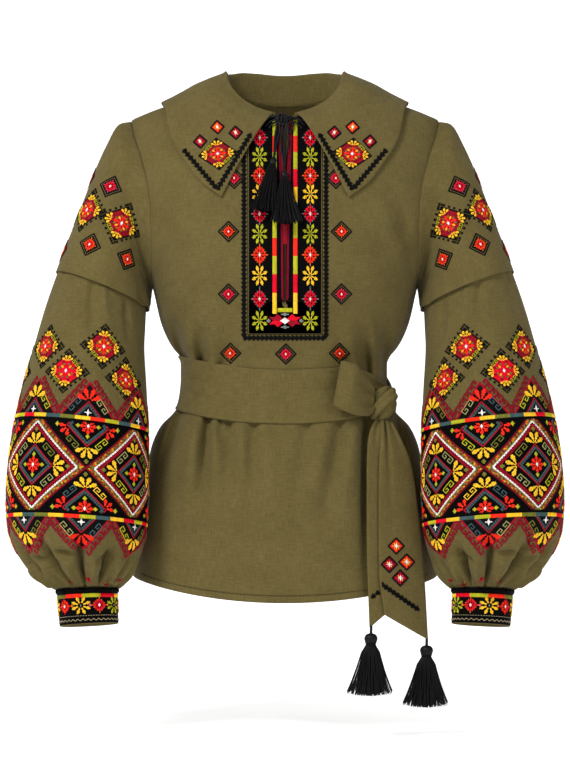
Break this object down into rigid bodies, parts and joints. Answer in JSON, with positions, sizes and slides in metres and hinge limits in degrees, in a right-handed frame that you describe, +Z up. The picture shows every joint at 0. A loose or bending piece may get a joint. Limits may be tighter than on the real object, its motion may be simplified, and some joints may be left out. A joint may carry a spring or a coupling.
{
  "type": "vyshyvanka shirt",
  "caption": "Embroidered olive linen blouse as worn, with a wide pointed collar, gathered bishop sleeves, tied sash belt and black tassels.",
  "frame": {"origin": "middle of the base of the neck, where the wearer's neck and shoulders hold the blouse", "axes": "+Z up, -Y the way the blouse faces, +X to the right of someone looking at its front"},
  "size_m": [0.6806, 0.2917, 0.7889],
  "materials": {
    "linen": "olive plain-weave linen",
    "silk": "black silk thread",
    "embroidery": "satin stitch in coloured silk"
  },
  "bodies": {
    "root": {"front": "linen", "back": "linen", "sleeve_upper_left": "linen", "sleeve_upper_right": "linen", "sleeve_lower_left": "linen", "sleeve_lower_right": "linen", "cuff_left": "linen", "cuff_right": "linen", "collar": "linen", "belt_wrap": "linen", "belt_loop": "linen", "belt_knot": "linen", "belt_tail_left": "linen", "belt_tail_right": "linen", "belt_tassel_left": "silk", "belt_tassel_right": "silk", "tie_knot": "silk", "tie_cord_left": "silk", "tie_cord_right": "silk", "tie_tassel_left": "silk", "tie_tassel_right": "silk"}
  },
  "joints": []
}
